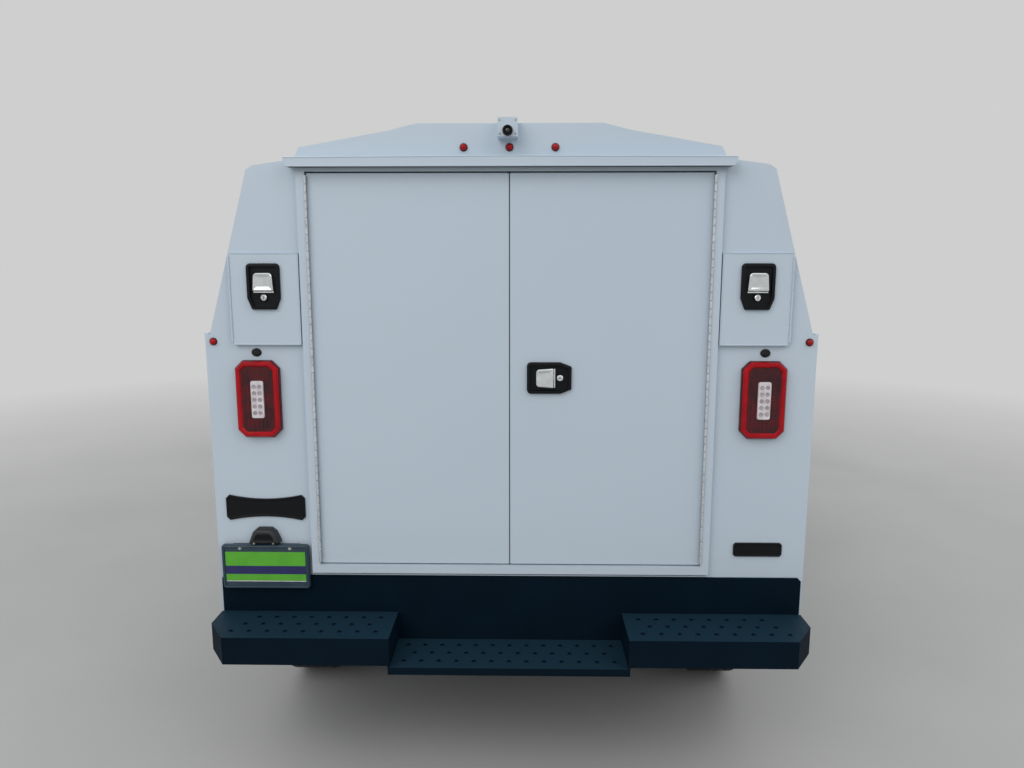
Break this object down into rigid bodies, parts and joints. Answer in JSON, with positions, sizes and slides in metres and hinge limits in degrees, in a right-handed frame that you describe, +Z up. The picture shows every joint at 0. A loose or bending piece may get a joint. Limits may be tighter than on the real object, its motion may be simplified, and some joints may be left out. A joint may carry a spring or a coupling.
{
  "type": "enclosed utility service van",
  "caption": "Enclosed utility service van: cutaway cab, walk-in load body between side storage packs, double rear doors and a step bumper, with opening doors, steering and rolling wheels.",
  "frame": {"origin": "on the ground at the middle of the overall length and width", "axes": "+Y to the front of the van, +X to its right-hand side, +Z up"},
  "size_m": [2.38, 5.3448, 2.2719],
  "materials": {
    "body_paint": "gloss white powder coat",
    "cab_paint": "gloss white enamel",
    "bumper_paint": "blue-black textured powder coat",
    "chassis": "black chassis wax",
    "cast": "as cast",
    "exhaust_steel": "heat-dulled steel",
    "wheel_steel": "silver enamel",
    "tyre": "matt rubber",
    "glass": "clear, lightly tinted",
    "lamp_lens": "clear lens",
    "lamp_red": "red lens",
    "black_plastic": "grained",
    "grey_plastic": "satin dark grey",
    "latch_black": "satin black",
    "cab_trim": "grained grey",
    "seat_cloth": "woven grey cloth",
    "floor_plate": "tread plate",
    "plate_blank": "blank green insert in a dark frame"
  },
  "bodies": {
    "root": {"frame_rails": "chassis", "hitch_brackets": "chassis", "front_suspension": "chassis", "rear_axle": "cast", "rear_suspension": "chassis", "engine_block": "cast", "driveline": "cast", "exhaust": "exhaust_steel", "fuel_tank": "black_plastic", "cab_shell": "cab_paint", "cab_floor": "cab_trim", "grille": "grey_plastic", "headlights": "lamp_lens", "windscreen": "glass", "front_bumper": "black_plastic", "dashboard": "cab_trim", "seats": "seat_cloth", "side_pack_left": "body_paint", "side_pack_right": "body_paint", "load_floor": "floor_plate", "bulkhead": "body_paint", "roof_cap": "body_paint", "rear_portal": "body_paint", "tail_lights": "lamp_red", "marker_lights": "lamp_red", "licence_plate": "plate_blank", "backup_camera": "body_paint", "kick_band": "bumper_paint", "rear_bumper": "bumper_paint"},
    "knuckle_left": {"knuckle_left": "cast"},
    "knuckle_right": {"knuckle_right": "cast"},
    "wheel_front_left": {"tyre_front_left": "tyre", "wheel_front_left": "wheel_steel"},
    "wheel_front_right": {"tyre_front_right": "tyre", "wheel_front_right": "wheel_steel"},
    "wheel_rear_left": {"tyre_rear_left": "tyre", "wheel_rear_left": "wheel_steel"},
    "wheel_rear_right": {"tyre_rear_right": "tyre", "wheel_rear_right": "wheel_steel"},
    "hood": {"hood": "cab_paint"},
    "cab_door_left": {"cab_door_left": "cab_paint", "door_glass_left": "glass", "door_mirror_left": "black_plastic"},
    "cab_door_right": {"cab_door_right": "cab_paint", "door_glass_right": "glass", "door_mirror_right": "black_plastic"},
    "steering_wheel": {"steering_wheel": "black_plastic"},
    "rear_door_left": {"rear_door_left": "body_paint"},
    "rear_door_right": {"rear_door_right": "body_paint", "rear_latch": "latch_black"},
    "rear_hatch_left": {"rear_hatch_left": "body_paint", "hatch_latch_left": "latch_black"},
    "rear_hatch_right": {"rear_hatch_right": "body_paint", "hatch_latch_right": "latch_black"},
    "front_locker_door_left": {"front_locker_door_left": "body_paint"},
    "middle_locker_door_left": {"middle_locker_door_left": "body_paint"},
    "over_wheel_door_left": {"over_wheel_door_left": "body_paint"},
    "front_locker_door_right": {"front_locker_door_right": "body_paint"},
    "middle_locker_door_right": {"middle_locker_door_right": "body_paint"},
    "over_wheel_door_right": {"over_wheel_door_right": "body_paint"}
  },
  "joints": [
    {"name": "steer_left", "type": "hinge", "parent": "root", "child": "knuckle_left", "pos_m": [-0.78, 1.7725, 0.387], "axis": [0, 0, 1], "range_deg": [-32, 32]},
    {"name": "spin_front_left", "type": "hinge", "parent": "knuckle_left", "child": "wheel_front_left", "pos_m": [-0.866, 1.7725, 0.387], "axis": [-1, 0, 0], "continuous": true},
    {"name": "spin_rear_left", "type": "hinge", "parent": "root", "child": "wheel_rear_left", "pos_m": [-0.866, -1.7575, 0.387], "axis": [-1, 0, 0], "continuous": true},
    {"name": "steer_right", "type": "hinge", "parent": "root", "child": "knuckle_right", "pos_m": [0.78, 1.7725, 0.387], "axis": [0, 0, 1], "range_deg": [-32, 32]},
    {"name": "spin_front_right", "type": "hinge", "parent": "knuckle_right", "child": "wheel_front_right", "pos_m": [0.866, 1.7725, 0.387], "axis": [-1, 0, 0], "continuous": true},
    {"name": "spin_rear_right", "type": "hinge", "parent": "root", "child": "wheel_rear_right", "pos_m": [0.866, -1.7575, 0.387], "axis": [-1, 0, 0], "continuous": true},
    {"name": "steering_column", "type": "hinge", "parent": "root", "child": "steering_wheel", "pos_m": [-0.43, 1.1975, 1.17], "axis": [0, -0.8192, 0.5736], "range_deg": [-512, 512]},
    {"name": "cab_door_left_hinge", "type": "hinge", "parent": "root", "child": "cab_door_left", "pos_m": [-1.007, 1.2975, 1], "axis": [0, 0, -1], "range_deg": [0, 65]},
    {"name": "rear_door_left_hinge", "type": "hinge", "parent": "root", "child": "rear_door_left", "pos_m": [-0.6715, -2.4895, 1.433], "axis": [0, 0, -1], "range_deg": [0, 105]},
    {"name": "rear_hatch_left_hinge", "type": "hinge", "parent": "root", "child": "rear_hatch_left", "pos_m": [-0.942, -2.4825, 1.694], "axis": [0, 0, -1], "range_deg": [0, 100]},
    {"name": "front_locker_left_hinge", "type": "hinge", "parent": "root", "child": "front_locker_door_left", "pos_m": [-1.045, 0.2435, 1.07], "axis": [0, 0, -1], "range_deg": [0, 90]},
    {"name": "middle_locker_left_hinge", "type": "hinge", "parent": "root", "child": "middle_locker_door_left", "pos_m": [-1.045, -0.505, 1.07], "axis": [0, 0, -1], "range_deg": [0, 90]},
    {"name": "over_wheel_left_hinge", "type": "hinge", "parent": "root", "child": "over_wheel_door_left", "pos_m": [-1.045, -1.8575, 0.908], "axis": [0, -1, 0], "range_deg": [0, 90]},
    {"name": "cab_door_right_hinge", "type": "hinge", "parent": "root", "child": "cab_door_right", "pos_m": [1.007, 1.2975, 1], "axis": [0, 0, 1], "range_deg": [0, 65]},
    {"name": "rear_door_right_hinge", "type": "hinge", "parent": "root", "child": "rear_door_right", "pos_m": [0.6715, -2.4895, 1.433], "axis": [0, 0, 1], "range_deg": [0, 105]},
    {"name": "rear_hatch_right_hinge", "type": "hinge", "parent": "root", "child": "rear_hatch_right", "pos_m": [0.942, -2.4825, 1.694], "axis": [0, 0, 1], "range_deg": [0, 100]},
    {"name": "front_locker_right_hinge", "type": "hinge", "parent": "root", "child": "front_locker_door_right", "pos_m": [1.045, 0.2435, 1.07], "axis": [0, 0, 1], "range_deg": [0, 90]},
    {"name": "middle_locker_right_hinge", "type": "hinge", "parent": "root", "child": "middle_locker_door_right", "pos_m": [1.045, -0.505, 1.07], "axis": [0, 0, 1], "range_deg": [0, 90]},
    {"name": "over_wheel_right_hinge", "type": "hinge", "parent": "root", "child": "over_wheel_door_right", "pos_m": [1.045, -1.8575, 0.908], "axis": [0, 1, 0], "range_deg": [0, 90]},
    {"name": "hood_hinge", "type": "hinge", "parent": "root", "child": "hood", "pos_m": [0, 1.7985, 1.275], "axis": [1, 0, 0], "range_deg": [0, 50]}
  ],
  "couplings": [
    {"joint": "steer_right", "follows": "steer_left", "ratio": 1},
    {"joint": "steering_column", "follows": "steer_left", "ratio": 16}
  ]
}
